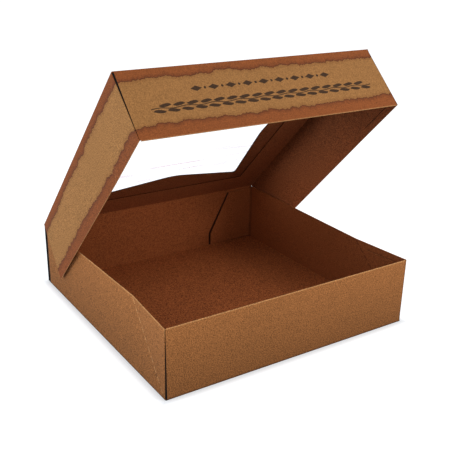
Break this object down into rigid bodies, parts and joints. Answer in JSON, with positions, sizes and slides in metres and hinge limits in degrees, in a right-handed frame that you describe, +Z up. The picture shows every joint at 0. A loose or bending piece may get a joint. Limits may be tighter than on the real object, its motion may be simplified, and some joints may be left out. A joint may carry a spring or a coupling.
{
  "type": "pie box",
  "caption": "Folded kraft paperboard pie box: a square tray with glued corner flaps and a hinged, deep-sided lid that stands open, with a clear film window glued under its top.",
  "frame": {"origin": "middle of the tray's underside, where the box rests on a table", "axes": "+X to the right along the front wall, +Y towards the hinged back wall, +Z up"},
  "size_m": [0.259, 0.254, 0.2449],
  "materials": {
    "kraft_board": "uncoated, matt",
    "printed_kraft_board": "printed, matt",
    "clear_film": "clear, glossy"
  },
  "bodies": {
    "tray": {"tray": "kraft_board"},
    "lid": {"lid": "printed_kraft_board", "window_film": "clear_film"}
  },
  "joints": [
    {"name": "lid_hinge", "type": "hinge", "parent": "tray", "child": "lid", "pos_m": [0, 0.12677, 0.06402], "axis": [-1, 0, 0], "range_deg": [-45.3, 134.7]}
  ]
}
